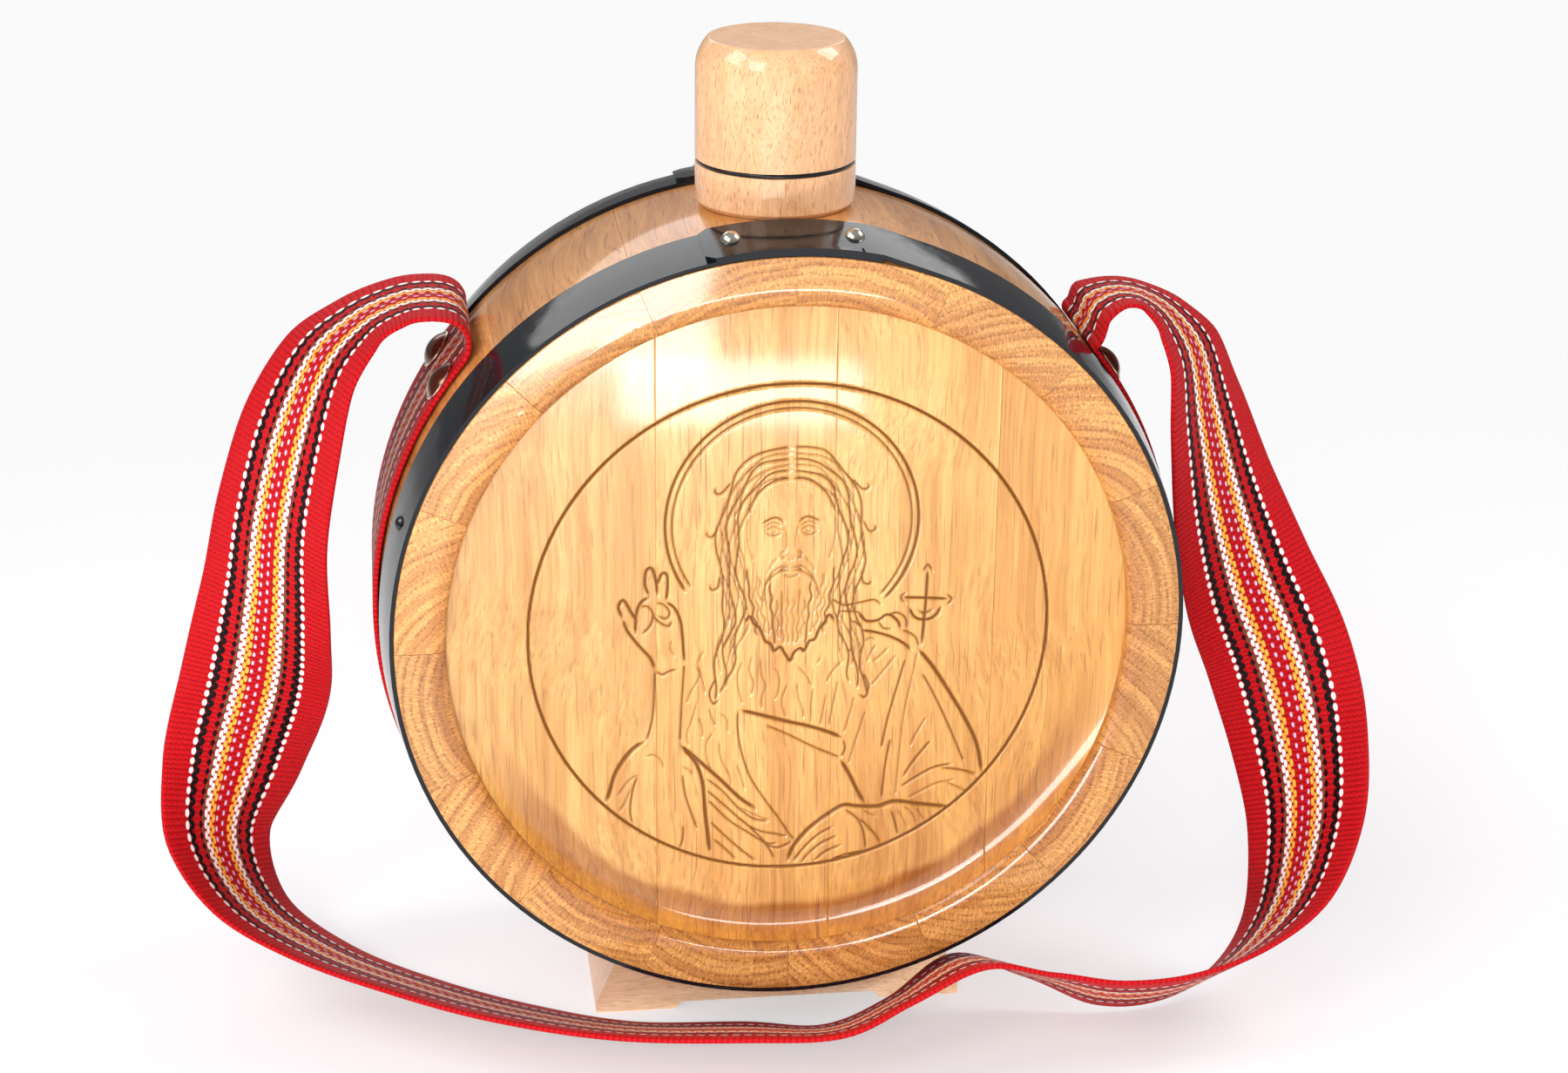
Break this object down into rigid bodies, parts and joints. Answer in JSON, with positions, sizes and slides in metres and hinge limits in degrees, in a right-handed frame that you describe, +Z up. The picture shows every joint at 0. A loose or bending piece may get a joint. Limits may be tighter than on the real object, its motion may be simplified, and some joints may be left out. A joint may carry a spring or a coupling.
{
  "type": "gourd water bottle",
  "caption": "Flat stave-built wooden canteen with hooped round body, turned screw cap on top, cradle foot and a woven shoulder strap tacked to its sides.",
  "frame": {"origin": "on the table under the middle of the barrel", "axes": "+Z up, -Y towards the carved front head, barrel axis along Y"},
  "size_m": [0.358, 0.1328, 0.2862],
  "materials": {
    "stave_oak": "varnished oak",
    "head_oak": "varnished oak",
    "hoop_black": "glossy black",
    "rivet_nickel": "domed nickel",
    "nail_black": "glossy black",
    "beech": "varnished beech",
    "black_plastic": "gloss",
    "liner_rubber": "matt pale",
    "screw_zinc": "zinc",
    "strap_webbing": "woven ribbon",
    "tack_brass": "antique dome"
  },
  "bodies": {
    "flask": {"stave_01": "stave_oak", "stave_02": "stave_oak", "stave_03": "stave_oak", "stave_04": "stave_oak", "stave_05": "stave_oak", "stave_06": "stave_oak", "stave_07": "stave_oak", "stave_08": "stave_oak", "stave_09": "stave_oak", "stave_10": "stave_oak", "stave_11": "stave_oak", "stave_12": "stave_oak", "stave_13": "stave_oak", "stave_14": "stave_oak", "stave_15": "stave_oak", "stave_16": "stave_oak", "front_head_board_1": "head_oak", "front_head_board_2": "head_oak", "front_head_board_3": "head_oak", "front_head_board_4": "head_oak", "back_head_board_1": "head_oak", "back_head_board_2": "head_oak", "back_head_board_3": "head_oak", "back_head_board_4": "head_oak", "front_hoop": "hoop_black", "back_hoop": "hoop_black", "front_hoop_rivets": "rivet_nickel", "back_hoop_rivets": "rivet_nickel", "front_hoop_nail": "nail_black", "back_hoop_nail": "nail_black", "neck_collar": "beech", "pour_spout": "black_plastic", "foot": "beech", "foot_screws": "screw_zinc", "strap_cradle_left": "strap_webbing", "shoulder_strap": "strap_webbing", "strap_cradle_right": "strap_webbing", "left_strap_tacks": "tack_brass", "right_strap_tacks": "tack_brass"},
    "cap_seal": {"cap_liner": "liner_rubber"},
    "cap": {"cap_shell": "beech", "cap_insert": "black_plastic"}
  },
  "joints": [
    {"name": "cap_lift", "type": "slide", "parent": "flask", "child": "cap_seal", "axis": [0, 0, 1], "range_m": [0, 0.018]},
    {"name": "cap_turn", "type": "hinge", "parent": "cap_seal", "child": "cap", "pos_m": [0, 0, 0.252], "axis": [0, 0, 1], "range_deg": [0, 1440]}
  ],
  "couplings": [
    {"joint": "cap_lift", "follows": "cap_turn", "m_per_rad": 0.000716}
  ]
}
